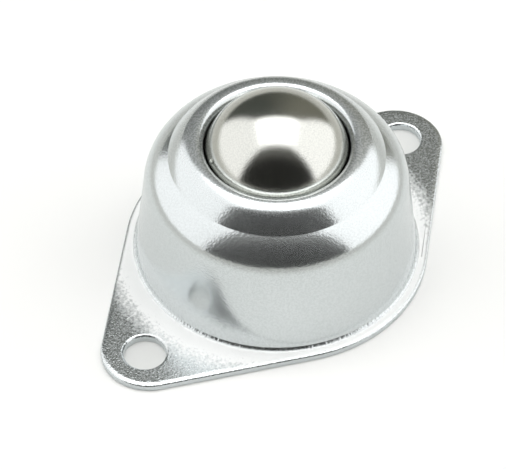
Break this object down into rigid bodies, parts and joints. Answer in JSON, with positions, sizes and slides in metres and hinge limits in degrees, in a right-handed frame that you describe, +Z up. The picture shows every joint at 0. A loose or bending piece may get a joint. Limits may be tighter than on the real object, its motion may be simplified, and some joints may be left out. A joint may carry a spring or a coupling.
{
  "type": "ball castor",
  "caption": "Ball castor: a polished steel ball turns on loose bearing balls in a domed pressed-steel housing with a flat flange for screws.",
  "frame": {"origin": "middle of the flange's underside, on the axis of the dome", "axes": "+Z up through the ball, +X along the line of the two fixing holes, +Y across the flange"},
  "size_m": [0.0702, 0.0456, 0.0301],
  "materials": {
    "zinc_plated_steel": "pressed steel sheet with bright zinc plate",
    "hardened_steel": "turned and hardened",
    "polished_steel": "mirror polished",
    "bearing_steel": "ground and polished"
  },
  "bodies": {
    "housing": {"housing": "zinc_plated_steel", "bearing_seat": "hardened_steel"},
    "bearing_balls": {"bearing_ball_01": "bearing_steel", "bearing_ball_02": "bearing_steel", "bearing_ball_03": "bearing_steel", "bearing_ball_04": "bearing_steel", "bearing_ball_05": "bearing_steel", "bearing_ball_06": "bearing_steel", "bearing_ball_07": "bearing_steel", "bearing_ball_08": "bearing_steel", "bearing_ball_09": "bearing_steel", "bearing_ball_10": "bearing_steel", "bearing_ball_11": "bearing_steel", "bearing_ball_12": "bearing_steel", "bearing_ball_13": "bearing_steel", "bearing_ball_14": "bearing_steel", "bearing_ball_15": "bearing_steel", "bearing_ball_16": "bearing_steel", "bearing_ball_17": "bearing_steel", "bearing_ball_18": "bearing_steel", "bearing_ball_19": "bearing_steel", "bearing_ball_20": "bearing_steel", "bearing_ball_21": "bearing_steel", "bearing_ball_22": "bearing_steel", "bearing_ball_23": "bearing_steel", "bearing_ball_24": "bearing_steel", "bearing_ball_25": "bearing_steel", "bearing_ball_26": "bearing_steel", "bearing_ball_27": "bearing_steel", "bearing_ball_28": "bearing_steel", "bearing_ball_29": "bearing_steel", "bearing_ball_30": "bearing_steel", "bearing_ball_31": "bearing_steel", "bearing_ball_32": "bearing_steel", "bearing_ball_33": "bearing_steel", "bearing_ball_34": "bearing_steel", "bearing_ball_35": "bearing_steel", "bearing_ball_36": "bearing_steel", "bearing_ball_37": "bearing_steel", "bearing_ball_38": "bearing_steel", "bearing_ball_39": "bearing_steel", "bearing_ball_40": "bearing_steel", "bearing_ball_41": "bearing_steel", "bearing_ball_42": "bearing_steel", "bearing_ball_43": "bearing_steel", "bearing_ball_44": "bearing_steel", "bearing_ball_45": "bearing_steel", "bearing_ball_46": "bearing_steel", "bearing_ball_47": "bearing_steel", "bearing_ball_48": "bearing_steel", "bearing_ball_49": "bearing_steel", "bearing_ball_50": "bearing_steel", "bearing_ball_51": "bearing_steel", "bearing_ball_52": "bearing_steel"},
    "load_ball": {"load_ball": "polished_steel"}
  },
  "joints": [
    {"name": "bearing_orbit", "type": "hinge", "parent": "housing", "child": "bearing_balls", "pos_m": [0, 0, 0.01899], "axis": [0, 0, 1], "continuous": true},
    {"name": "ball_roll", "type": "hinge", "parent": "bearing_balls", "child": "load_ball", "pos_m": [0, 0, 0.01899], "axis": [1, 0, 0], "continuous": true}
  ]
}
